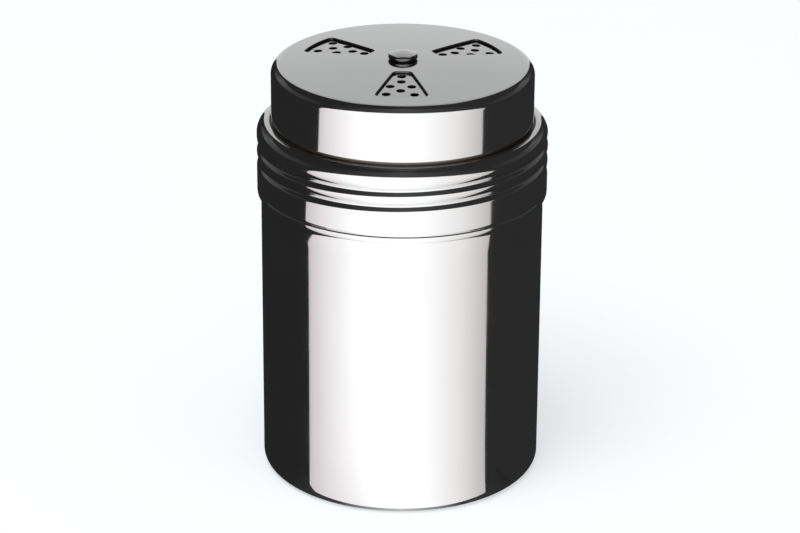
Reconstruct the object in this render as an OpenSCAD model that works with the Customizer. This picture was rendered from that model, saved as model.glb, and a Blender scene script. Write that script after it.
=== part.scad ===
// Sugar caster of pressed stainless sheet: a canister, a screw cap with a perforated
// sifter, and a cover with windows that turns on a rivet to open and close the holes.
// Millimetres. The origin is the middle of the base, +Z is up and -Y is the front.

/* [Sheet] */
// Thickness of every pressed sheet
sheet = 0.4; // [0.3:0.05:0.6]

/* [Canister] */
// Outer diameter of the canister
body_d = 66; // [60:1:80]
// Height of the straight outer wall
wall_h = 67.6; // [50:0.2:90]
// Radius of the corner at the foot
foot_r = 2.3; // [1.2:0.1:4]
// Radius by which the wall turns in to the neck
step_r = 2.5; // [2:0.1:3]
// Diameter of the raised panel in the base
panel_d = 50; // [30:1:50]
// Height of the raised panel in the base
panel_rise = 0.8; // [0.3:0.1:1.5]
// Gap between the rim of the neck and the cap
rim_gap = 0.3; // [0.2:0.05:0.6]

/* [Screw ring] */
// How far the skirt stands out past the canister's wall
ring_over = 0.9; // [0.7:0.05:1.2]
// Height of the ring from its hem to the top of its shoulder
ring_h = 17.45; // [17.2:0.05:22]
// Radius of the shoulder's outer edge
shoulder_r = 2.8; // [2.2:0.1:3]
// Height of the bead along the hem
hem_h = 1.65; // [1.2:0.05:1.8]
// Depth of the crease above the hem bead
hem_crease = 0.2; // [0.05:0.01:0.2]
// How far the hem hangs down round the top of the canister's wall
hem_lap = 1.45; // [0.8:0.05:1.8]

/* [Thread] */
// Rise of the thread in one turn
pitch = 3.6; // [3.4:0.05:3.8]
// Turns of groove rolled into the ring
ring_turns = 2.15; // [1.5:0.05:2.2]
// Turns of bead rolled out of the neck
neck_turns = 1.35; // [1:0.05:1.5]
// Depth of the rolled groove
groove_depth = 0.8; // [0.55:0.05:0.9]
// Width of the rolled groove
groove_w = 2.6; // [2.2:0.1:2.8]
// Height of the groove above the hem, on the right where it starts
groove_start = 6.15; // [5.4:0.05:6.4]
// Radial gap between the neck's bead and the ring
bead_gap = 0.3; // [0.2:0.05:0.4]
// Radial gap between the ring's ridge and the neck
ridge_gap = 0.7; // [0.5:0.05:1]
// Width of the neck's bead
bead_w = 1.5; // [1:0.1:1.6]
// Axial distance from the ring's ridge up to the neck's bead
bead_above = 1.5; // [1.45:0.05:1.85]
// Angle over which a groove or a bead dies away at its ends
fade_angle = 40; // [20:5:60]

/* [Cover] */
// How far the cover's wall stands in from the skirt
cover_in = 3.4; // [3.2:0.1:5]
// Height of the cover at its middle
cover_h = 14; // [11:0.05:20]
// Radius of the cover's upper edge
cover_r = 2.4; // [1.6:0.1:3.5]
// Rise of the dome from the cover's edge to its middle
dome_rise = 1; // [0.6:0.05:2]
// Gap between the cover's foot and the shoulder
foot_gap = 0.8; // [0.2:0.05:1]
// Gap between the cover and the sifter inside it
turn_gap = 0.15; // [0.1:0.05:0.3]
// Gap between the cover's wall and the mouth in the shoulder
mouth_gap = 0.2; // [0.1:0.05:0.3]

/* [Windows and holes] */
// Windows in the cover, with a group of holes under each
window_count = 3; // [2:1:4]
// Distance from the middle to a window's straight inner edge
window_in = 8.7; // [7:0.1:10]
// Distance from the middle to a window's curved outer edge
window_out = 23.95; // [20:0.05:25]
// Width of a window at its inner edge
window_w_in = 3.9; // [3:0.1:5]
// Width of a window at its outer edge
window_w_out = 12.1; // [9:0.1:14]
// Radius of a window's corners
window_r = 1; // [0.3:0.1:1.4]
// Angle by which the windows lie off the front
window_turn = -0.6; // [-3:0.1:3]
// Diameter of a sifting hole
hole_d = 2; // [1.2:0.1:2.2]
// Distance from a window's inner edge to the first hole
hole_after = 1.8; // [1.5:0.1:3]
// Distance from the last row of holes to a window's outer edge
hole_before = 2.7; // [1.8:0.1:3]
// Angle by which the holes lie off the front
hole_turn = -1.4; // [-3:0.1:3]

/* [Pivot] */
// Diameter of the rivet's head
head_d = 6.8; // [5.4:0.1:9]
// Height of the rivet's head
head_h = 1.8; // [1.2:0.1:3]
// Height of the edge of the rivet's head
head_edge = 0.85; // [0.75:0.05:1.05]
// Radius under the edge of the rivet's head
head_r = 0.6; // [0.2:0.1:0.7]
// Diameter of the rivet's shank
shank_d = 4; // [3:0.1:4.6]
// Radial clearance of the shank in the sheets
pivot_gap = 0.08; // [0.03:0.01:0.1]
// Outer diameter of the two washers
washer_d = 11; // [9:0.5:14]
// Thickness of the spring washer
spring_t = 0.4; // [0.25:0.05:0.5]
// Dish of the spring washer
spring_dish = 0.5; // [0.3:0.05:0.8]
// Thickness of the backing washer
backing_t = 0.8; // [0.5:0.1:1.2]
// Diameter of the clinched tail
tail_d = 6; // [5.4:0.1:8]
// Height of the clinched tail
tail_h = 1.2; // [0.8:0.1:2]
// Radius of the clinched tail's edge
tail_r = 0.4; // [0.2:0.1:0.6]
// Gap left between pieces that lie flat on one another
lay_gap = 0.05; // [0.02:0.01:0.1]

/* [Hidden] */
$fn = 96;
dome_fn = 256;
overcut = 1;

// Radii, from the skirt inwards
body_r = body_d / 2;
ring_r = body_r + ring_over;
ring_in_r = ring_r - sheet;
bead_r = ring_in_r - bead_gap;
neck_r = ring_in_r - groove_depth - ridge_gap;
corner_x = ring_r - shoulder_r;
cover_wall_r = ring_r - cover_in;
sifter_wall_r = cover_wall_r - sheet - turn_gap;
mouth_r = cover_wall_r + mouth_gap;
bore_r = shank_d / 2 + pivot_gap;

// The two domes, which share the middle of their corners' rounds
corner_r = cover_wall_r - cover_r;
sifter_r = sifter_wall_r - corner_r;
function ball_over(r, rise) = (pow(r, 2) + pow(rise, 2)) / (2 * rise);
dome_r = ball_over(corner_r, dome_rise);
sifter_dome_r = dome_r - sheet - turn_gap;

// Heights, from the step upwards
step_z = wall_h + step_r;
hem_z = step_z - hem_lap;
groove_z = hem_z + groove_start;
shoulder_z = hem_z + ring_h;
corner_z = shoulder_z - shoulder_r;
rim_z = corner_z + sqrt(pow(shoulder_r - sheet, 2) - pow(neck_r - corner_x, 2)) - rim_gap;
flange_z = shoulder_z - 2 * sheet;
cover_z = shoulder_z + foot_gap;
cover_top = cover_z + cover_h;
sifter_top = cover_top - sheet - turn_gap;
dome_fall = pow(washer_d / 2, 2) / (2 * sifter_dome_r);
spring_top = sifter_top - sheet - dome_fall - lay_gap;
backing_top = spring_top - spring_t - spring_dish - lay_gap;
tail_top = backing_top - backing_t - lay_gap;

// Turns, counted anticlockwise from the right-hand side
wall_steps = 48;
rows_per_pitch = 8;
corner_steps = 5;
groove_first = -0.06;
bead_first = 0.3;
bead_sides = 6;
bead_sink = sheet / 2;
bead_end = 0.1;

// Rows of holes under a window: how far out along it, and how many holes
HOLE_ROWS = [[0, 1], [0.3, 1], [0.57, 2], [0.8, 1], [1, 2]];
pair_share = 0.58;

// Half outline of a solid round of radius r and height h, its top edge rounded by c
module round_top(r, h, c) {
    square([r - c, h]);
    square([r, h - c]);
    translate([r - c, h - c]) circle(c);
}

// Half outline of a solid round of radius r, its top edge rounded by c and its top domed
// to height h by a sphere of radius d
module domed_top(r, h, c, d) {
    dome_z = h - d;
    edge_z = dome_z + sqrt(pow(d - c, 2) - pow(r - c, 2));
    square([r, edge_z]);
    translate([r - c, edge_z]) circle(c);
    intersection() {
        square([(r - c) * d / (d - c), h]);
        translate([0, dome_z]) circle(d, $fn = dome_fn);
    }
}

// Half outline of a sheet cup with a domed top, open below height z
module domed_cup(r, h, c, d, z) {
    difference() {
        domed_top(r, h, c, d);
        domed_top(r - sheet, h - sheet, c - sheet, d - sheet);
        translate([0, -overcut]) square([r + overcut, z + overcut]);
    }
}

// Half outline of the canister below its neck, drawn inset from its outside
module can(inset) {
    r = body_r - inset;
    middle = wall_h / 2;
    translate([0, middle]) mirror([0, 1]) round_top(r, middle - inset, foot_r - inset);
    translate([0, middle]) round_top(r, step_z - inset - middle, step_r - inset);
}

// Half outline of the raised panel in the base, lifted by z
module panel(z) {
    r = panel_d / 2;
    polygon([[0, z - overcut], [r + panel_rise, z - overcut], [r + panel_rise, z],
             [r, z + panel_rise], [0, z + panel_rise]]);
}

// Vertices and faces of a closed strip: loops holds rings of as many points each
function loop_faces(m, i, next) = [
    for (j = [0 : m - 1]) let (k = (j + 1) % m)
        each [[i * m + j, i * m + k, next * m + k], [i * m + j, next * m + k, next * m + j]]];
function around(r, z, turn) = [r * cos(360 * turn), r * sin(360 * turn), z];

// How much of a groove or a bead is left at a turn, from 0 at its ends to 1
function fade(turn, first, turns) =
    let (from_end = 360 * min(turn - first, first + turns - turn))
    from_end <= 0 ? 0 : from_end >= fade_angle ? 1 : sin(90 * from_end / fade_angle);

// Depth of the rolled groove at a turn and a height
function groove(turn, z) =
    let (at = turn + round((z - groove_z) / pitch - turn),
         off = z - groove_z - pitch * at,
         bell = abs(off) < groove_w / 2 ? (1 + cos(360 * off / groove_w)) / 2 : 0)
    groove_depth * fade(at, groove_first, ring_turns) * bell;

// Rows of the ring's skirt from the crease up to the shoulder's rounding
skirt_from = groove_z + groove_first * pitch - groove_w / 2;
skirt_rows = ceil((corner_z - skirt_from) / pitch * rows_per_pitch);
function skirt(r) = [
    for (i = [0 : skirt_rows]) [r, skirt_from + (corner_z - skirt_from) * i / skirt_rows]];

// The shoulder's rounding and its flat, drawn inset from the outside
function shoulder(inset) = [
    for (i = [1 : corner_steps])
        let (a = 90 * i / corner_steps, c = shoulder_r - inset)
        [corner_x + c * cos(a), corner_z + c * sin(a)],
    [mouth_r, shoulder_z - inset]];

function hem() = [
    [ring_r - sheet / 2, hem_z], [ring_r, hem_z + 0.3 * hem_h], [ring_r, hem_z + 0.8 * hem_h],
    [ring_r - hem_crease, hem_z + hem_h], [ring_r, hem_z + 1.3 * hem_h]];
function hem_inside() = [[ring_in_r, hem_z + 1.3 * hem_h], [ring_in_r, hem_z]];
function backwards(rows) = [for (i = [len(rows) - 1 : -1 : 0]) rows[i]];

// The sheet of the ring: up its outside, in over the shoulder and down its inside
ring_outline = concat(hem(), skirt(ring_r), shoulder(0),
                      backwards(shoulder(sheet)), backwards(skirt(ring_in_r)), hem_inside());

module screw_ring() {
    m = len(ring_outline);
    color("silver") polyhedron(
        points = [
            for (i = [0 : wall_steps - 1]) let (turn = i / wall_steps)
                for (p = ring_outline) around(p[0] - groove(turn, p[1]), p[1], turn)],
        faces = [
            for (i = [0 : wall_steps - 1]) each loop_faces(m, i, (i + 1) % wall_steps)]);
}

// The bead rolled out of the neck, which the ring's ridge runs under
module neck_bead() {
    m = bead_sides + 1;
    steps = round(neck_turns * wall_steps);
    height = bead_r - neck_r + bead_sink;
    color("gainsboro") polyhedron(
        points = [
            for (i = [0 : steps])
                let (turn = bead_first + neck_turns * i / steps,
                     rise = height * max(bead_end, fade(turn, bead_first, neck_turns)),
                     z = groove_z + bead_above + pitch * turn)
                for (k = [0 : bead_sides]) let (a = 180 * k / bead_sides)
                    around(neck_r - bead_sink + rise * sin(a), z - bead_w / 2 * cos(a), turn)],
        faces = concat(
            [for (i = [0 : steps - 1]) each loop_faces(m, i, i + 1)],
            [[for (k = [m - 1 : -1 : 0]) k], [for (k = [0 : m - 1]) steps * m + k]]));
}

module canister() {
    color("gainsboro") {
        rotate_extrude() difference() {
            union() {
                can(0);
                translate([0, wall_h / 2]) square([neck_r, rim_z - wall_h / 2]);
            }
            difference() {
                union() {
                    can(sheet);
                    translate([0, wall_h / 2]) square([neck_r - sheet, rim_z]);
                }
                panel(sheet);
            }
            panel(0);
        }
        neck_bead();
    }
}

// Places its children along the middle of each window, turned by some degrees
module at_windows(turn = 0) {
    for (i = [0 : window_count - 1]) rotate(180 + turn + 360 * i / window_count) children();
}

// Half the width of a window at a distance from the middle
window_far = sqrt(pow(window_out, 2) - pow(window_w_out / 2, 2));
function window_half(y) =
    (window_w_in + (window_w_out - window_w_in) * (y - window_in) / (window_far - window_in)) / 2;

module window_outline() {
    far = window_out + overcut;
    offset(r = window_r) offset(delta = -window_r) intersection() {
        circle(window_out);
        polygon([[-window_half(window_in), window_in], [window_half(window_in), window_in],
                 [window_half(far), far], [-window_half(far), far]]);
    }
}

module sifter() {
    color("silver") difference() {
        rotate_extrude() {
            domed_cup(sifter_wall_r, sifter_top, sifter_r, sifter_dome_r, flange_z);
            translate([sifter_wall_r - sheet, flange_z])
                square([corner_x - sifter_wall_r + sheet, sheet]);
        }
        translate([0, 0, cover_z]) {
            cylinder(r = bore_r, h = cover_h);
            at_windows(hole_turn) for (row = HOLE_ROWS) {
                y = window_in + hole_after
                    + row[0] * (window_out - hole_before - window_in - hole_after);
                x = row[1] > 1 ? pair_share * window_half(y) : 0;
                for (side = row[1] > 1 ? [-1, 1] : [0])
                    translate([side * x, y]) cylinder(d = hole_d, h = cover_h);
            }
        }
    }
}

module shutter_cover() {
    color("lightgray") difference() {
        rotate_extrude() domed_cup(cover_wall_r, cover_top, cover_r, dome_r, cover_z);
        translate([0, 0, cover_z]) {
            cylinder(r = bore_r, h = cover_h + overcut);
            at_windows(window_turn) linear_extrude(cover_h + overcut) window_outline();
        }
    }
}

module pivot_rivet() {
    ball_r = ball_over(head_d / 2, head_h - head_edge);
    color("darkgray") rotate_extrude() {
        translate([0, cover_top + lay_gap]) intersection() {
            translate([0, head_h]) mirror([0, 1]) round_top(head_d / 2, head_h, head_r);
            translate([0, head_h - ball_r]) circle(ball_r);
        }
        translate([0, tail_top - tail_h / 2])
            square([shank_d / 2, cover_top + lay_gap + head_edge - tail_top + tail_h / 2]);
        translate([0, tail_top]) mirror([0, 1]) round_top(tail_d / 2, tail_h, tail_r);
    }
}

module spring_washer() {
    color("dimgray") rotate_extrude() translate([0, spring_top])
        polygon([[bore_r, -spring_t - spring_dish], [washer_d / 2, -spring_t],
                 [washer_d / 2, 0], [bore_r, -spring_dish]]);
}

module backing_washer() {
    color("gray") rotate_extrude() translate([bore_r, backing_top - backing_t])
        square([washer_d / 2 - bore_r, backing_t]);
}

canister();
screw_ring();
sifter();
shutter_cover();
pivot_rivet();
spring_washer();
backing_washer();
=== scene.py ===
"""Looks of a polished-steel sugar caster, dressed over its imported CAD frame.

Metres, in the frame's own axes: the origin is the middle of the base, +Z is up and -Y is the front.
"""
import math

import bmesh
import bpy
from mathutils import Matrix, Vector
from mathutils.geometry import delaunay_2d_cdt


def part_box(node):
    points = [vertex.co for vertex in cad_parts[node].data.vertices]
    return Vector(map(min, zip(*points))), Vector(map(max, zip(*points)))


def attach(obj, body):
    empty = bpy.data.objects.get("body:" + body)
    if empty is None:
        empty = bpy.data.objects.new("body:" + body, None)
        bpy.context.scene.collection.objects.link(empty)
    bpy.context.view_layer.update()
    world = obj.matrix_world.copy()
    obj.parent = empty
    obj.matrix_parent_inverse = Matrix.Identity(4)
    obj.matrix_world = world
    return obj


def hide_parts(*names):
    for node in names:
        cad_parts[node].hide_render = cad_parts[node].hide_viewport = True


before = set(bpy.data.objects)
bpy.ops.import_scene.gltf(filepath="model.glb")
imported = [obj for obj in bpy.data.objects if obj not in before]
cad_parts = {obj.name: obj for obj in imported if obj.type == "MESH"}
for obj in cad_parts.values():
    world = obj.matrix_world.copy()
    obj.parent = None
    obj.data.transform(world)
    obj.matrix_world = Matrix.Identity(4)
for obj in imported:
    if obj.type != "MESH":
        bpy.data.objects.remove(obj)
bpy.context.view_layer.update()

# Sizes that the frame gives
MM = 0.001
ring_low, ring_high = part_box("screw_ring")
_, can_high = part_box("canister")
cover_low, cover_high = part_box("shutter_cover")
sifter_low, sifter_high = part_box("sifter")
rivet_low, rivet_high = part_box("pivot_rivet")
RING_R = ring_high.x
HEM_Z = ring_low.z
SHOULDER_Z = ring_high.z
RIM_Z = can_high.z
COVER_R = cover_high.x
COVER_Z = cover_low.z
COVER_TOP = cover_high.z
SIFTER_TOP = sifter_high.z
FLANGE_R = sifter_high.x
FLANGE_Z = sifter_low.z
HEAD_R = rivet_high.x
HEAD_TOP = rivet_high.z
TAIL_Z = rivet_low.z

# Sheet and canister
SHEET = 0.4 * MM
RING_OVER = 0.9 * MM
BODY_R = RING_R - RING_OVER
STEP_ROUND = 2.5 * MM
HEM_LAP = 1.45 * MM
WALL_H = HEM_Z + HEM_LAP - STEP_ROUND
BEND_ROUND = 32 * MM
BEND_TURN = 0.1
FOOT_ROUND = 2.3 * MM
PANEL_R = 25 * MM
PANEL_RISE = 0.8 * MM
PANEL_ROUND = 0.6 * MM
NECK_IN = 1.9 * MM
NECK_R = RING_R - NECK_IN
RIM_ROUND = 0.18 * MM

# Screw ring and thread
RING_IN_R = RING_R - SHEET
SHOULDER_ROUND = 2.8 * MM
HEM_IN = 0.36 * MM
HEM_RISE = 0.9 * MM
HEM_H = 1.65 * MM
CREASE_Z = HEM_Z + HEM_H
CREASE_DEPTH = 0.2 * MM
CREASE_ROUND = 0.04 * MM
CREASE_BELOW, BELOW_ROUND = 0.3 * MM, 0.3 * MM
CREASE_ABOVE, ABOVE_ROUND = 0.5 * MM, 0.8 * MM
SKIRT_ABOVE = 1 * MM
EDGE_ROUND = 0.1 * MM
# Reach of the dark brown band of painted gap shade at the ring's mouth and the sifter's foot
GAP_SHADE_REACH = 0.3 * MM
PITCH = 3.6 * MM
GROOVE_START = 6.15 * MM
GROOVE_Z = HEM_Z + GROOVE_START
GROOVE_DEPTH = 0.8 * MM
GROOVE_ABOVE = 2.3 * MM
GROOVE_BELOW = 1.3 * MM
GROOVE_LEAN = 0.7
GROOVE_FIRST = -0.06
GROOVE_TURNS = 2.15
BEAD_OUT = 1.2 * MM
BEAD_HALF = 1.1 * MM
BEAD_LIFT = 1.5 * MM
BEAD_FIRST = 0.3
BEAD_TURNS = 1.35
FADE_TURN = 40 / 360

# Cover and sifter
COVER_ROUND = 2.4 * MM
COVER_RISE = 1 * MM
TURN_GAP = 0.15 * MM
SIFTER_R = COVER_R - SHEET - TURN_GAP
SIFTER_ROUND = COVER_ROUND - SHEET - TURN_GAP
MOUTH_GAP = 0.2 * MM
MOUTH_R = COVER_R + MOUTH_GAP
CORNER_R = COVER_R - COVER_ROUND
BORE_R = 2.08 * MM
WINDOW_COUNT = 3
WINDOW_IN = 8.7 * MM
WINDOW_OUT = 23.95 * MM
WINDOW_HALF_IN = 1.95 * MM
WINDOW_HALF_OUT = 6.05 * MM
WINDOW_ROUND = 1 * MM
WINDOW_TURN = math.radians(-0.6)
WINDOW_EDGE = 0.22 * MM
HOLE_R = 1 * MM
HOLE_AFTER = 1.8 * MM
HOLE_BEFORE = 2.7 * MM
HOLE_TURN = math.radians(-1.4)
HOLE_EDGE = 0.04 * MM
HOLE_ROWS = ((0, 1), (0.3, 1), (0.57, 2), (0.8, 1), (1, 2))
PAIR_SHARE = 0.58
BURR_EDGE = 0.06 * MM

# Rivet
SHANK_R = 2 * MM
TAIL_R = 3 * MM
TAIL_H = 1.2 * MM
TAIL_ROUND = 0.4 * MM
HEAD_H = 1.8 * MM
HEAD_EDGE = 1.05 * MM
HEAD_UNDER = 0.5 * MM
HEAD_ROUND = 0.55 * MM
HEAD_BALL = 0.8

# Fineness of the meshes
SEGMENTS = 360
ROUND_STEP = math.radians(6)
SUPPORT = 0.12 * MM
THREAD_ROW = 0.1 * MM
CUT_STEP = 0.3 * MM
DOME_STEP = 1 * MM
SHARP = math.radians(35)
GUARD = 2.5 * SUPPORT
EDGE_STEP, HEM_STEP = 15, 6
HOLE_POINTS, BORE_POINTS = 32, 64
WINDOW_CHORDS = 8
SAME_SPOT = 1e-7
SAME_CORNER = 1e-9


def arc(middle, radius, first, last):
    """Points of an arc about a middle, from one angle to another, both in radians."""
    count = max(2, math.ceil(abs(last - first) / ROUND_STEP))
    turns = [first + (last - first) * i / count for i in range(count + 1)]
    return [middle + radius * Vector((math.cos(a), math.sin(a))) for a in turns]


def rounded(corners):
    """Points of a line through corners (x, y, radius), with a support point beside each round.

    A corner without a radius stays sharp.
    """
    spots = [Vector(c[:2]) for c in corners]
    points = []
    for i, corner in enumerate(corners):
        here = spots[i]
        if len(corner) < 3:
            points.append(here)
            continue
        before = (here - spots[i - 1]).normalized()
        after = (spots[(i + 1) % len(spots)] - here).normalized()
        turn = math.atan2(before.cross(after), before.dot(after))
        reach = corner[2] * math.tan(abs(turn) / 2)
        side = math.copysign(1, turn)
        middle = here - before * reach + side * corner[2] * Vector((-before.y, before.x))
        first = math.atan2(-side * before.x, side * before.y)
        points.append(here - before * (reach + SUPPORT))
        points.extend(arc(middle, corner[2], first, first + turn))
        points.append(here + after * (reach + SUPPORT))
    return points


def with_rows(points, low, high, gap, closed=False):
    """The same outline, with upright stretches between two heights cut into short rows."""
    made = []
    count = len(points) if closed else len(points) - 1
    for i in range(count):
        start, end = points[i], points[(i + 1) % len(points)]
        made.append(start)
        bottom, top = sorted((start.y, end.y))
        if abs(end.x - start.x) < SAME_SPOT and top - bottom > gap and bottom < high and top > low:
            rows = math.ceil((top - bottom) / gap)
            made.extend(start.lerp(end, j / rows) for j in range(1, rows))
    if not closed:
        made.append(points[-1])
    return made


def lathe(bm, outline, closed=False, push=None):
    """Turns an outline (radius, height) about the Z axis. Push gives a point's move outwards."""
    columns = []
    for i in range(SEGMENTS):
        turn = i / SEGMENTS
        ray = Vector((math.cos(math.tau * turn), math.sin(math.tau * turn)))
        column = []
        for spot in outline:
            radius = spot.x + (push(turn, spot.y) if push else 0)
            column.append(bm.verts.new((radius * ray.x, radius * ray.y, spot.y)))
        columns.append(column)
    rows = len(outline) if closed else len(outline) - 1
    for i, column in enumerate(columns):
        after = columns[(i + 1) % SEGMENTS]
        for j in range(rows):
            k = (j + 1) % len(outline)
            bm.faces.new((column[j], after[j], after[k], column[k]))


def resampled(loop, gap):
    """Points at an even spacing along a closed loop."""
    points = []
    for i, start in enumerate(loop):
        end = loop[(i + 1) % len(loop)]
        count = max(1, round((end - start).length / gap))
        points.extend(start.lerp(end, j / count) for j in range(count))
    return points


def grown(loop, by):
    """An anticlockwise loop moved outwards by a distance."""
    made = []
    for i, here in enumerate(loop):
        along = loop[(i + 1) % len(loop)] - loop[i - 1]
        made.append(here + by * Vector((along.y, -along.x)).normalized())
    return made


def bounded(loop):
    """A loop with its middle and its reach, for the tests on points."""
    middle = sum(loop, Vector((0, 0))) / len(loop)
    return loop, middle, max((p - middle).length for p in loop)


def inside(point, loop, middle, reach):
    """Whether a point lies within a loop that stays within reach of its middle."""
    if (point - middle).length > reach:
        return False
    odd = False
    for i, start in enumerate(loop):
        end = loop[i - 1]
        if (start.y > point.y) != (end.y > point.y):
            share = (point.y - start.y) / (end.y - start.y)
            if point.x < start.x + share * (end.x - start.x):
                odd = not odd
    return odd


def circle(radius, count, middle=Vector((0, 0))):
    """Points of an anticlockwise circle."""
    turns = [math.tau * i / count for i in range(count)]
    return [middle + radius * Vector((math.cos(a), math.sin(a))) for a in turns]


def ball_over(radius, rise):
    """Radius of the ball whose cap has a given radius and rise."""
    return (radius ** 2 + rise ** 2) / (2 * rise)


def dome_height(spot, top, dome_r):
    """Height of a dome's surface above a spot."""
    return top - dome_r + math.sqrt(dome_r ** 2 - spot.length_squared)


def pierced_dome(bm, rim_r, top, dome_r, cuts, edge, up):
    """A dome's face out to a rim, with holes along the cuts' loops, which an edge widens."""
    edge_loops = [grown(cut, edge) for cut in cuts]
    walls = [bounded(loop) for loop in edge_loops]
    guards = [bounded(grown(loop, GUARD)) for loop in edge_loops]
    loops = [circle(rim_r, SEGMENTS), circle(rim_r - SUPPORT, SEGMENTS)]
    loops += edge_loops + [grown(loop, SUPPORT) for loop in edge_loops]
    points, links = [], []
    for loop in loops:
        first = len(points)
        points.extend(loop)
        links.extend((first + i, first + (i + 1) % len(loop)) for i in range(len(loop)))
    radius = rim_r - DOME_STEP
    while radius > BORE_R + DOME_STEP:
        ring_points = circle(radius, round(math.tau * radius / DOME_STEP))
        points.extend(p for p in ring_points if not any(inside(p, *guard) for guard in guards))
        radius -= DOME_STEP
    spots, _, faces, _, _, _ = delaunay_2d_cdt(points, links, [], 0, SAME_CORNER)
    verts = [bm.verts.new((p.x, p.y, dome_height(p, top, dome_r))) for p in spots]
    for face in faces:
        middle = (spots[face[0]] + spots[face[1]] + spots[face[2]]) / 3
        if any(inside(middle, *wall) for wall in walls):
            continue
        corners = [verts[i] for i in face]
        area = (spots[face[1]] - spots[face[0]]).cross(spots[face[2]] - spots[face[0]])
        bm.faces.new(corners if (area > 0) == up else corners[::-1])
    bmesh.ops.delete(bm, geom=[v for v in verts if not v.link_faces], context="VERTS")


def cut_walls(bm, cuts, top, dome_r, edge):
    """Walls of the cuts through a domed sheet, rounded above by an edge and almost sharp below."""
    quarter = [math.radians(a) for a in range(90, -1, -EDGE_STEP)]
    rows = [(edge * (1 - math.cos(a)), edge * (1 - math.sin(a))) for a in quarter]
    for a in reversed(quarter):
        rows.append((BURR_EDGE * (1 - math.cos(a)), SHEET - BURR_EDGE * (1 - math.sin(a))))
    for cut in cuts:
        levels = []
        for out, down in rows:
            level = []
            for spot in grown(cut, out):
                z = dome_height(spot, top - down, dome_r - down)
                level.append(bm.verts.new((spot.x, spot.y, z)))
            levels.append(level)
        for above, below in zip(levels, levels[1:]):
            for i in range(len(cut)):
                k = (i + 1) % len(cut)
                face = bm.faces.new((above[i], above[k], below[k], below[i]))
                face.material_index = 1


def domed_corner(wall_r, top, corner_r, dome_r, inwards):
    """The round from a dome's rim down to an upright wall, drawn inwards from the outside."""
    across = wall_r - corner_r
    middle = Vector((across, top - dome_r + math.sqrt((dome_r - corner_r) ** 2 - across ** 2)))
    lean = math.asin(across / (dome_r - corner_r))
    points = arc(middle, corner_r - inwards, math.pi / 2 - lean, 0)
    points.append(points[-1] - Vector((0, SUPPORT)))
    return points


def domed_cup(bm, wall_r, top, corner_r, dome_r, foot_corners, cuts, edge):
    """A sheet cup with a domed, pierced top. Its foot runs through corners (x, y, radius)."""
    outer = domed_corner(wall_r, top, corner_r, dome_r, 0)
    inner = domed_corner(wall_r, top, corner_r, dome_r, SHEET)
    foot = rounded([outer[-1], *foot_corners, inner[-1]])
    lathe(bm, outer + foot[1:-1] + inner[::-1])
    pierced_dome(bm, outer[0].x, top, dome_r, cuts, edge, True)
    pierced_dome(bm, inner[0].x, top - SHEET, dome_r - SHEET, cuts, BURR_EDGE, False)
    cut_walls(bm, cuts, top, dome_r, edge)


def make_piece(name, bm, materials, body, node):
    """Closes a mesh into a smooth piece that rides on a body and stands for a CAD node."""
    bmesh.ops.remove_doubles(bm, verts=bm.verts, dist=SAME_SPOT)
    bmesh.ops.recalc_face_normals(bm, faces=bm.faces)
    mesh = bpy.data.meshes.new(name)
    bm.to_mesh(mesh)
    bm.free()
    mesh.shade_smooth()
    mesh.set_sharp_from_angle(angle=SHARP)
    for material in materials:
        mesh.materials.append(material)
    piece = bpy.data.objects.new(name, mesh)
    bpy.context.scene.collection.objects.link(piece)
    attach(piece, body)
    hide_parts(node)


def left_of(at, first, turns):
    """How much of a groove or a bead is left at a turn, from 0 at its ends to 1."""
    from_end = min(at - first, first + turns - at)
    if from_end <= 0:
        return 0
    return math.sin(math.pi / 2 * min(1, from_end / FADE_TURN))


def helix(turn, z, start_z, first, turns, above, below, lean=1):
    """Height of a rolled helical bell at a turn and a height, from 0 to 1.

    Above and below are its reach. A lean under 1 rounds its upper end and tightens its middle.
    """
    at = turn + math.floor((z - start_z + below) / PITCH - turn)
    off = z - start_z - PITCH * at
    share = (off / above) ** lean if off > 0 else -off / below
    if share >= 1:
        return 0
    return left_of(at, first, turns) * (1 + math.cos(math.pi * share)) / 2


def groove(turn, z):
    """Move of the ring's sheet at its rolled groove."""
    return -GROOVE_DEPTH * helix(turn, z, GROOVE_Z, GROOVE_FIRST, GROOVE_TURNS,
                                 GROOVE_ABOVE, GROOVE_BELOW, GROOVE_LEAN)


def neck_bead(turn, z):
    """Move of the neck's sheet at its rolled bead."""
    start_z = GROOVE_Z + BEAD_LIFT
    return BEAD_OUT * helix(turn, z, start_z, BEAD_FIRST, BEAD_TURNS, BEAD_HALF, BEAD_HALF)


# Node trees
def add_node(tree, kind, inputs=None, **settings):
    """A node with its settings and inputs, where an input is a value or another node's socket."""
    made = tree.nodes.new(kind)
    for name, value in settings.items():
        setattr(made, name, value)
    for name, value in (inputs or {}).items():
        if isinstance(value, bpy.types.NodeSocket):
            tree.links.new(value, made.inputs[name])
        else:
            made.inputs[name].default_value = value
    return made


def math_node(tree, operation, first, second=0.0, third=0.0):
    """A Math node's result."""
    inputs = {0: first, 1: second, 2: third}
    return add_node(tree, "ShaderNodeMath", inputs, operation=operation).outputs[0]


def spread(tree, value, low, high, to_low, to_high):
    """A value mapped from one range to another, held at its ends."""
    inputs = {"Value": value, "From Min": low, "From Max": high,
              "To Min": to_low, "To Max": to_high}
    return add_node(tree, "ShaderNodeMapRange", inputs).outputs["Result"]


def noise(tree, place, scale, detail):
    """A noise texture's value at a place."""
    inputs = {"Vector": place, "Scale": scale, "Detail": detail}
    return add_node(tree, "ShaderNodeTexNoise", inputs).outputs["Fac"]


def empty_material(name):
    """A material with a bare node tree and its output."""
    material = bpy.data.materials.new(name)
    material.use_nodes = True
    tree = material.node_tree
    tree.nodes.clear()
    return material, tree, tree.nodes.new("ShaderNodeOutputMaterial")


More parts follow.
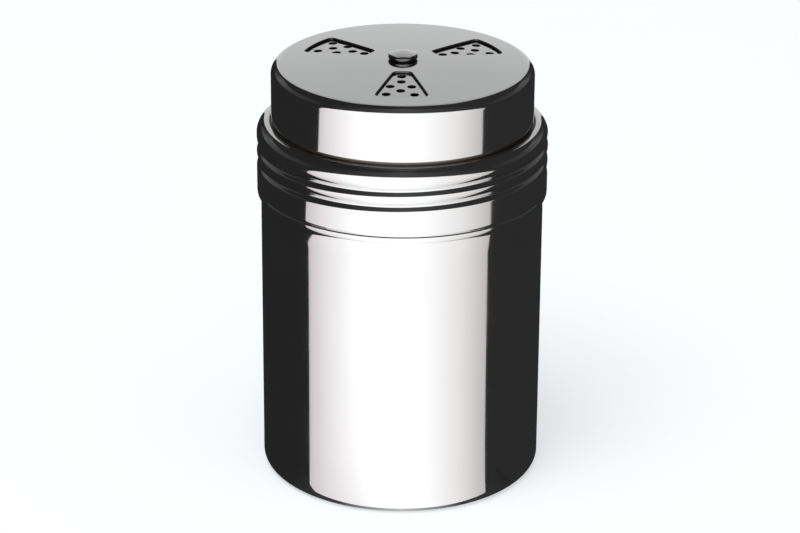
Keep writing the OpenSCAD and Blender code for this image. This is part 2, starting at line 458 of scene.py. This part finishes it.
# Steel, with its turned lines, smudges, wear and scratches
LINE_SCALE, LINE_TURN = 5000.0, 2.0
SMUDGE_SCALE, SMUDGE_TINT = 45.0, 0.97
WORN_FROM, WORN_TO = 0.35, 0.75
SCRATCH_TURN = (0.5, 0.9, 0.4)
SCRATCH_SCALE = (60.0, 2500.0, 2500.0)
SCRATCH_FROM, SCRATCH_TO = 0.7, 0.76
SCRATCH_DEPTH, SCRATCH_ROUGH = -1.5, 0.08
BUMP_DEPTH = 0.00001


def steel(name, tint, smooth, rough, line_depth):
    """Polished steel: fine turned lines, soft smudges and hairline scratches."""
    material, tree, output = empty_material(name)
    place = add_node(tree, "ShaderNodeTexCoord").outputs["Object"]
    parts = add_node(tree, "ShaderNodeSeparateXYZ", {0: place}).outputs
    angle = math_node(tree, "ARCTAN2", parts[1], parts[0])
    square = math_node(tree, "MULTIPLY_ADD", parts[0], parts[0],
                       math_node(tree, "MULTIPLY", parts[1], parts[1]))
    radius = math_node(tree, "SQRT", square)
    turned = add_node(tree, "ShaderNodeCombineXYZ", {
        0: math_node(tree, "MULTIPLY", radius, LINE_SCALE),
        1: math_node(tree, "MULTIPLY", angle, LINE_TURN),
        2: math_node(tree, "MULTIPLY", parts[2], LINE_SCALE)}).outputs[0]
    lines = noise(tree, turned, 1.0, 3.0)
    smudge = noise(tree, place, SMUDGE_SCALE, 4.0)
    skew = add_node(tree, "ShaderNodeMapping", {
        "Vector": place, "Rotation": SCRATCH_TURN, "Scale": SCRATCH_SCALE}).outputs[0]
    hairs = noise(tree, skew, 1.0, 1.0)
    scratch = spread(tree, hairs, SCRATCH_FROM, SCRATCH_TO, 0.0, 1.0)
    worn = spread(tree, smudge, WORN_FROM, WORN_TO, smooth, rough)
    shade = add_node(tree, "ShaderNodeValToRGB", {"Fac": smudge})
    marks = shade.color_ramp.elements
    marks[0].position, marks[1].position = 0.3, 0.7
    marks[0].color = (*[SMUDGE_TINT * c for c in tint], 1.0)
    marks[1].color = (*tint, 1.0)
    depth = math_node(tree, "MULTIPLY_ADD", scratch, SCRATCH_DEPTH, lines)
    bump = add_node(tree, "ShaderNodeBump", {
        "Height": depth, "Strength": line_depth, "Distance": BUMP_DEPTH}).outputs[0]
    shader = add_node(tree, "ShaderNodeBsdfPrincipled", {
        "Base Color": shade.outputs[0], "Metallic": 1.0, "Normal": bump,
        "Roughness": math_node(tree, "MULTIPLY_ADD", scratch, SCRATCH_ROUGH, worn)})
    tree.links.new(shader.outputs[0], output.inputs[0])
    return material


polished = steel("polished_steel", (0.84, 0.845, 0.85), 0.05, 0.1, 0.05)
sifter_steel = steel("sifter_steel", (0.8, 0.805, 0.81), 0.09, 0.16, 0.12)
sheared = steel("sheared_steel", (0.13, 0.115, 0.1), 0.4, 0.55, 0.6)
# Dark brown: the ring mouth's raw cut edge, together with painted shade of the gap under the
# shoulder
raw_edge_gap_shade = steel("raw_edge_gap_shade", (0.3, 0.265, 0.235), 0.4, 0.55, 0.6)
window_steel = steel("window_steel", (0.22, 0.22, 0.225), 0.4, 0.55, 0.6)
rivet_steel = steel("rivet_steel", (0.82, 0.82, 0.825), 0.07, 0.14, 0.08)
# Dark steel: a painted shade on the rivet head's side and underside
rivet_side_painted_shade = steel("rivet_side_painted_shade", (0.2, 0.2, 0.21), 0.15, 0.25, 0.2)
spring_steel = steel("spring_steel", (0.55, 0.55, 0.56), 0.2, 0.35, 0.4)
washer_steel = steel("washer_steel", (0.66, 0.66, 0.67), 0.25, 0.4, 0.6)


# Canister: a drawn can with a raised base panel, a neck and a bead rolled out of it
def can_side(inset):
    """The wall from the base's panel up to the rim, drawn inset from the outside."""
    bend_z = WALL_H - BEND_ROUND * math.sin(BEND_TURN)
    bend_middle = Vector((BODY_R - BEND_ROUND, bend_z))
    bend = arc(bend_middle, BEND_ROUND - inset, 0, BEND_TURN)
    lean = Vector((math.cos(BEND_TURN), math.sin(BEND_TURN)))
    step_middle = bend_middle + (BEND_ROUND - STEP_ROUND) * lean
    step_round = STEP_ROUND - inset
    neck_r = NECK_R - inset
    turn_in = math.acos((neck_r - step_middle.x) / step_round)
    step = arc(step_middle, step_round, BEND_TURN, turn_in)
    wall_r = BODY_R - inset
    low = rounded([
        (0, PANEL_RISE + inset),
        (PANEL_R, PANEL_RISE + inset, PANEL_ROUND),
        (PANEL_R + PANEL_RISE, inset, PANEL_ROUND),
        (wall_r, inset, FOOT_ROUND - inset),
        (wall_r, bend_z - SUPPORT),
    ])
    neck_z = step[-1].y
    return low + bend + step[1:] + [Vector((neck_r, neck_z + SUPPORT))]


can = bmesh.new()
outside, within = can_side(0), can_side(SHEET)
rim = rounded([
    outside[-1],
    (NECK_R, RIM_Z, RIM_ROUND),
    (NECK_R - SHEET, RIM_Z, RIM_ROUND),
    within[-1],
])
can_outline = with_rows(outside + rim[1:-1] + within[::-1], outside[-1].y, RIM_Z, THREAD_ROW)
lathe(can, can_outline, push=neck_bead)
make_piece("canister_can", can, [polished], "canister", "canister")

# Screw ring: the cap's skirt with its rolled groove, a beaded hem and the shoulder
ring = bmesh.new()
hem_turns = [math.radians(a) for a in range(90, -1, -HEM_STEP)]
hem_curve = [(RING_R - HEM_IN * (1 - math.cos(a)), HEM_Z + HEM_RISE * (1 - math.sin(a)))
             for a in hem_turns]
ring_outline = rounded([
    *hem_curve,
    (RING_R, CREASE_Z - CREASE_BELOW, BELOW_ROUND),
    (RING_R - CREASE_DEPTH, CREASE_Z, CREASE_ROUND),
    (RING_R, CREASE_Z + CREASE_ABOVE, ABOVE_ROUND),
    (RING_R, SHOULDER_Z, SHOULDER_ROUND),
    (MOUTH_R, SHOULDER_Z, EDGE_ROUND),
    (MOUTH_R, SHOULDER_Z - SHEET, EDGE_ROUND),
    (RING_IN_R, SHOULDER_Z - SHEET, SHOULDER_ROUND - SHEET),
    (RING_IN_R, HEM_Z),
])
skirt_low = CREASE_Z + SKIRT_ABOVE
lathe(ring, with_rows(ring_outline, skirt_low, SHOULDER_Z, THREAD_ROW, closed=True),
      closed=True, push=groove)
# The mouth's cut edge and a narrow band beside it get the dark brown of painted gap shade
for face in ring.faces:
    if face.calc_center_median().xy.length < MOUTH_R + GAP_SHADE_REACH:
        face.material_index = 1
ring_looks = [polished, raw_edge_gap_shade]
make_piece("screw_ring_skirt", ring, ring_looks, "cap", "screw_ring")

# Cuts in the two domed tops, all anticlockwise
window_far = math.sqrt(WINDOW_OUT ** 2 - WINDOW_HALF_OUT ** 2)


def window_half(y):
    """Half the width of a window at a distance from the middle."""
    share = (y - WINDOW_IN) / (window_far - WINDOW_IN)
    return WINDOW_HALF_IN + (WINDOW_HALF_OUT - WINDOW_HALF_IN) * share


def turned_about(points, angle):
    """Points turned about the middle."""
    c, s = math.cos(angle), math.sin(angle)
    return [Vector((c * p.x - s * p.y, s * p.x + c * p.y)) for p in points]


def window_loop():
    """A window along +Y: a straight inner edge, slanted sides and a curved outer edge."""
    edge = math.atan2(WINDOW_HALF_OUT, window_far)
    turns = [edge - 2 * edge * i / WINDOW_CHORDS for i in range(1, WINDOW_CHORDS)]
    curve = [(WINDOW_OUT * math.sin(a), WINDOW_OUT * math.cos(a)) for a in turns]
    corners = [
        (-WINDOW_HALF_IN, WINDOW_IN, WINDOW_ROUND),
        (WINDOW_HALF_IN, WINDOW_IN, WINDOW_ROUND),
        (WINDOW_HALF_OUT, window_far, WINDOW_ROUND),
        *curve,
        (-WINDOW_HALF_OUT, window_far, WINDOW_ROUND),
    ]
    return resampled(rounded(corners), CUT_STEP)


def hole_loops():
    """The holes under one window along +Y, as circles."""
    loops = []
    for share, count in HOLE_ROWS:
        y = WINDOW_IN + HOLE_AFTER + share * (WINDOW_OUT - HOLE_BEFORE - WINDOW_IN - HOLE_AFTER)
        x = PAIR_SHARE * window_half(y) if count > 1 else 0
        for side in (-1, 1)[:count]:
            loops.append(circle(HOLE_R, HOLE_POINTS, Vector((side * x, y))))
    return loops


bore = circle(BORE_R, BORE_POINTS)
window_turns = [math.pi + math.tau * i / WINDOW_COUNT for i in range(WINDOW_COUNT)]
window_cuts = [bore] + [turned_about(window_loop(), a + WINDOW_TURN) for a in window_turns]
hole_cuts = [bore]
for a in window_turns:
    hole_cuts.extend(turned_about(loop, a + HOLE_TURN) for loop in hole_loops())

# Shutter cover: a domed cup with three windows
cover = bmesh.new()
cover_foot = [(COVER_R, COVER_Z, EDGE_ROUND), (COVER_R - SHEET, COVER_Z, EDGE_ROUND)]
cover_dome = ball_over(CORNER_R, COVER_RISE)
domed_cup(cover, COVER_R, COVER_TOP, COVER_ROUND, cover_dome, cover_foot, window_cuts, WINDOW_EDGE)
cover_looks = [polished, window_steel]
make_piece("shutter_cover_cup", cover, cover_looks, "cover", "shutter_cover")

# Sifter: a perforated domed cup with a flange that lies under the shoulder
sifter = bmesh.new()
gap_shade_top = COVER_Z + GAP_SHADE_REACH
sifter_foot = [
    (SIFTER_R, gap_shade_top),
    (SIFTER_R, FLANGE_Z + SHEET, EDGE_ROUND),
    (FLANGE_R, FLANGE_Z + SHEET, EDGE_ROUND),
    (FLANGE_R, FLANGE_Z, EDGE_ROUND),
    (SIFTER_R - SHEET, FLANGE_Z, SHEET),
]
sifter_dome = cover_dome - SHEET - TURN_GAP
domed_cup(sifter, SIFTER_R, SIFTER_TOP, SIFTER_ROUND, sifter_dome, sifter_foot,
          hole_cuts, HOLE_EDGE)
# The sifter's wall in the gap below the cover's foot gets the dark brown of painted gap shade
for face in sifter.faces:
    if face.calc_center_median().z < gap_shade_top:
        face.material_index = 2
sifter_looks = [sifter_steel, sheared, raw_edge_gap_shade]
make_piece("sifter_cup", sifter, sifter_looks, "cap", "sifter")

# Pivot rivet: a domed head, a shank and a clinched tail
rivet = bmesh.new()
head_z = HEAD_TOP - HEAD_H
ball_r = ball_over(HEAD_R, HEAD_H - HEAD_EDGE)
rise = math.asin(HEAD_R / ball_r)
ball_middle = Vector((0, HEAD_TOP - ball_r))
head_dome = arc(ball_middle, ball_r, math.pi / 2 - HEAD_BALL * rise, math.pi / 2)
tail_top = TAIL_Z + TAIL_H
rivet_outline = rounded([
    (0, TAIL_Z),
    (TAIL_R, TAIL_Z, TAIL_ROUND),
    (TAIL_R, tail_top, EDGE_ROUND),
    (SHANK_R, tail_top, EDGE_ROUND),
    (SHANK_R, head_z, EDGE_ROUND),
    (HEAD_R, head_z, HEAD_UNDER),
    (HEAD_R, head_z + HEAD_EDGE, HEAD_ROUND),
    (head_dome[0].x, head_dome[0].y),
]) + head_dome[1:]
lathe(rivet, rivet_outline)
# The head's side and underside get the dark steel of painted shade
for face in rivet.faces:
    middle = face.calc_center_median()
    if middle.xy.length > TAIL_R and middle.z < head_z + HEAD_EDGE:
        face.material_index = 1
rivet_looks = [rivet_steel, rivet_side_painted_shade]
make_piece("pivot_rivet_pin", rivet, rivet_looks, "pivot", "pivot_rivet")

# The washers under the sifter keep their CAD solids
for name, material in (("spring_washer", spring_steel), ("backing_washer", washer_steel)):
    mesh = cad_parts[name].data
    mesh.materials.clear()
    mesh.materials.append(material)

# Camera, at the photograph's viewing angle
TARGET_Z = 49.5 * MM
TARGET = Vector((0, 0, TARGET_Z))
CAMERA_DISTANCE = 725.88 * MM
CAMERA_ELEVATION = math.radians(22.985)
CAMERA_ROLL = math.radians(0.387)
CAMERA_SENSOR, CAMERA_LENS = 36, 137.89
FRAME_WIDTH = 800
SHIFT_X = -1.55 / FRAME_WIDTH
SHIFT_Y = -2.44 / FRAME_WIDTH
NEAREST, FARTHEST = 0.01, 20
camera = bpy.data.objects.new("camera", bpy.data.cameras.new("camera"))
bpy.context.scene.collection.objects.link(camera)
camera.data.sensor_width = CAMERA_SENSOR
camera.data.lens = CAMERA_LENS
camera.data.shift_x = SHIFT_X
camera.data.shift_y = SHIFT_Y
camera.data.clip_start = NEAREST
camera.data.clip_end = FARTHEST
backwards = Vector((0, -math.cos(CAMERA_ELEVATION), math.sin(CAMERA_ELEVATION)))
camera.location = TARGET + backwards * CAMERA_DISTANCE
camera.rotation_euler = (-backwards).to_track_quat("-Z", "Y").to_euler()
camera.rotation_euler.rotate_axis("Z", CAMERA_ROLL)
bpy.context.scene.camera = camera
bpy.context.scene.view_settings.view_transform = "Standard"


# World, floor and lamp: a plain bright studio
def seen_directly(tree):
    """1 for rays from the camera, from gloss or through glass, and 0 for rays that light things."""
    path = add_node(tree, "ShaderNodeLightPath").outputs
    gloss = math_node(tree, "MAXIMUM", path["Is Camera Ray"], path["Is Glossy Ray"])
    return math_node(tree, "MAXIMUM", gloss, path["Is Transmission Ray"])


WORLD_LIGHT = 0.55
WHITE = (0.97, 0.985, 1.0, 1.0)
world = bpy.data.worlds.new("studio")
bpy.context.scene.world = world
world.use_nodes = True
tree = world.node_tree
tree.nodes.clear()
level = spread(tree, seen_directly(tree), 0.0, 1.0, WORLD_LIGHT, 1.0)
sky = add_node(tree, "ShaderNodeBackground", {"Color": WHITE, "Strength": level})
tree.links.new(sky.outputs[0], add_node(tree, "ShaderNodeOutputWorld").inputs[0])

FLOOR_SIZE = 6
FLOOR_DROP = 0.02 * MM
FLOOR_GLOW = 0.53
PAPER = (0.6, 0.61, 0.62, 1.0)
floor_material, tree, output = empty_material("floor_paper")
place = add_node(tree, "ShaderNodeTexCoord").outputs["Object"]
paper = add_node(tree, "ShaderNodeBsdfDiffuse", {
    "Color": PAPER, "Roughness": noise(tree, place, 30.0, 3.0)})
glow = add_node(tree, "ShaderNodeEmission", {
    "Color": WHITE, "Strength": math_node(tree, "MULTIPLY", seen_directly(tree), FLOOR_GLOW)})
both = add_node(tree, "ShaderNodeAddShader", {0: paper.outputs[0], 1: glow.outputs[0]})
tree.links.new(both.outputs[0], output.inputs[0])
floor_mesh = bpy.data.meshes.new("floor")
half = FLOOR_SIZE / 2
floor_mesh.from_pydata([(-half, -half, 0), (half, -half, 0), (half, half, 0), (-half, half, 0)],
                       [], [(0, 1, 2, 3)])
floor_mesh.materials.append(floor_material)
floor = bpy.data.objects.new("floor", floor_mesh)
floor.location.z = -FLOOR_DROP
bpy.context.scene.collection.objects.link(floor)

LAMP_SIZE, LAMP_POWER = 0.9, 7
LAMP_SPOT = (-0.3, -0.5, 1.3)
lamp_data = bpy.data.lights.new("soft_lamp", "AREA")
lamp_data.shape = "DISK"
lamp_data.size = LAMP_SIZE
lamp_data.energy = LAMP_POWER
lamp = bpy.data.objects.new("soft_lamp", lamp_data)
lamp.location = LAMP_SPOT
lamp.rotation_euler = (TARGET - lamp.location).to_track_quat("-Z", "Y").to_euler()
lamp.visible_glossy = False
bpy.context.scene.collection.objects.link(lamp)

# Cards that only the metal shows: a dark tent, four panels, a strip behind and a shade at the foot
CARD_MIDDLE = Vector((4.2 * MM, -21.4 * MM, 0))
CARD_EYE = 80 * MM
TENT_R = 1.2
TENT_LIFT = 0.1 * MM
CARD_R = 0.79
CARD_LIFT = 0.2 * MM
CARD_COLUMNS, CARD_ROWS = 72, 36
NADIR, ZENITH = -89.9, 90
FRONT_LEFT, FRONT_RIGHT = -81.5, 74
FRONT_TOP = 34
FRONT_FALL_LEFT, FRONT_FALL_RIGHT = 64, 68
BACK = 180
STRIP_HALF = 12
HORIZON = -9
GREY_HALF = 16.5
GREY_SPREAD = 0.17
GREY_TOP = 60
SIDE_NEAR, SIDE_FAR = 26, 104
SIDE_LOW, SIDE_HIGH = 8, 28
SHADE_LIFT = 0.3 * MM
SHADE_IN = 4 * MM
SHADE_OUT = 0.3 * MM
SHADE_MORE = 12 * MM
SHADE_SIDE = 58


def card_material(name, stops, upwards=False):
    """Light of a card, changing across it or upwards between stops (share, colour)."""
    material, tree, output = empty_material(name)
    place = add_node(tree, "ShaderNodeTexCoord").outputs["UV"]
    shares = add_node(tree, "ShaderNodeSeparateXYZ", {0: place}).outputs
    ramp = add_node(tree, "ShaderNodeValToRGB", {"Fac": shares[1 if upwards else 0]})
    marks = ramp.color_ramp.elements
    while len(marks) < len(stops):
        marks.new(0.5)
    for mark, (at, colour) in zip(marks, stops):
        mark.position = at
        mark.color = (*colour, 1.0)
    glow = add_node(tree, "ShaderNodeEmission", {"Color": ramp.outputs[0], "Strength": 1.0})
    tree.links.new(glow.outputs[0], output.inputs[0])
    return material


def front_top(azimuth):
    """Elevation of the white panel's arched top edge, in degrees."""
    half = FRONT_FALL_LEFT if azimuth < 0 else FRONT_FALL_RIGHT
    return FRONT_TOP * (1 - (azimuth / half) ** 2)


def grey_low(azimuth):
    """Elevation of the grey panel's lower edge, which rises at its sides, in degrees."""
    return max(HORIZON, (abs(azimuth - BACK) - GREY_HALF) / GREY_SPREAD)


def floor_dip(reach, floor_z):
    """Elevation at which a spot on the floor is seen from the cards' eye, in degrees."""
    return -math.degrees(math.atan2(CARD_EYE - floor_z, reach))


def shade_high(azimuth):
    """Elevation of the foot shade's outer edge, which widens to its sides, in degrees."""
    return floor_dip(BODY_R + SHADE_OUT + SHADE_MORE * (azimuth / SHADE_SIDE) ** 4, SHADE_LIFT)


def make_card(name, first, last, low, high, material,
              radius=CARD_R, floor_z=CARD_LIFT, middle=CARD_MIDDLE):
    """A card on the floor and on a sphere about the object, between directions in degrees.

    Low and high are elevations, which may be functions of the azimuth.
    """
    columns, rows = CARD_COLUMNS, CARD_ROWS
    verts, shares, faces = [], [], []
    for i in range(columns + 1):
        azimuth = first + (last - first) * i / columns
        bottom = low(azimuth) if callable(low) else low
        top = high(azimuth) if callable(high) else high
        a = math.radians(azimuth)
        for j in range(rows + 1):
            elevation = bottom + (top - bottom) * j / rows
            lift = math.radians(elevation)
            reach, z = radius * math.cos(lift), CARD_EYE + radius * math.sin(lift)
            if z < floor_z:
                reach, z = (CARD_EYE - floor_z) / math.tan(-lift), floor_z
            verts.append(middle + Vector((reach * math.sin(a), -reach * math.cos(a), z)))
            shares.append((i / columns, elevation / ZENITH))
    for i in range(columns):
        for j in range(rows):
            here = i * (rows + 1) + j
            after = here + rows + 1
            faces.append((here, after, after + 1, here + 1))
    mesh = bpy.data.meshes.new(name)
    mesh.from_pydata(verts, [], faces)
    layer = mesh.uv_layers.new(name="UVMap")
    for loop in mesh.loops:
        layer.data[loop.index].uv = shares[loop.vertex_index]
    mesh.materials.append(material)
    card = bpy.data.objects.new(name, mesh)
    bpy.context.scene.collection.objects.link(card)
    card.visible_camera = False
    card.visible_diffuse = False
    card.visible_shadow = False
    card.visible_transmission = False


def grey(value):
    """A neutral colour."""
    return (value, value, value)


BRIGHT = 1.22
white_card = card_material("white_card", [
    (0.0, (0.7, 0.65, 0.66)), (0.09, (0.93, 0.88, 0.89)), (0.26, grey(BRIGHT)),
    (0.62, grey(BRIGHT)), (0.83, (0.95, 0.93, 0.92)), (1.0, (0.6, 0.58, 0.57))])
strip_card = card_material("strip_card", [(0.0, grey(0.5)), (0.5, grey(1.1)), (1.0, grey(0.5))])
dark_card = card_material("dark_card", [
    (0.0, grey(0.019)), (0.3, grey(0.02)), (0.5, grey(0.07)),
    (0.7, grey(0.026)), (1.0, grey(0.025))])
grey_card = card_material("grey_card", [
    (0.02, grey(0.66)), (0.16, grey(0.585)), (0.26, grey(0.495)),
    (0.37, grey(0.465)), (0.67, grey(0.33))],
    upwards=True)
side_card = card_material("side_card", [
    (0.0, grey(0.03)), (0.5, grey(0.05)), (0.8, grey(0.1)), (1.0, grey(0.03))])
shade_card = card_material("shade_card", [
    (0.0, grey(0.02)), (0.27, grey(0.05)), (0.5, grey(0.6)), (0.73, grey(0.05)), (1.0, grey(0.02))])
grey_reach = GREY_HALF + GREY_SPREAD * GREY_TOP
make_card("tent", -BACK, BACK, NADIR, ZENITH, dark_card, radius=TENT_R, floor_z=TENT_LIFT)
make_card("front_panel", FRONT_LEFT, FRONT_RIGHT, NADIR, front_top, white_card)
make_card("back_strip", BACK - STRIP_HALF, BACK + STRIP_HALF, NADIR, HORIZON, strip_card)
make_card("back_panel", BACK - grey_reach, BACK + grey_reach, grey_low, GREY_TOP, grey_card)
make_card("left_panel", SIDE_FAR - BACK, SIDE_NEAR - BACK, SIDE_LOW, SIDE_HIGH, side_card)
make_card("right_panel", BACK - SIDE_FAR, BACK - SIDE_NEAR, SIDE_LOW, SIDE_HIGH, side_card)
shade_low = floor_dip(BODY_R - SHADE_IN, SHADE_LIFT)
make_card("foot_shade", -SHADE_SIDE, SHADE_SIDE, shade_low, shade_high, shade_card,
          floor_z=SHADE_LIFT, middle=Vector((0, 0, 0)))
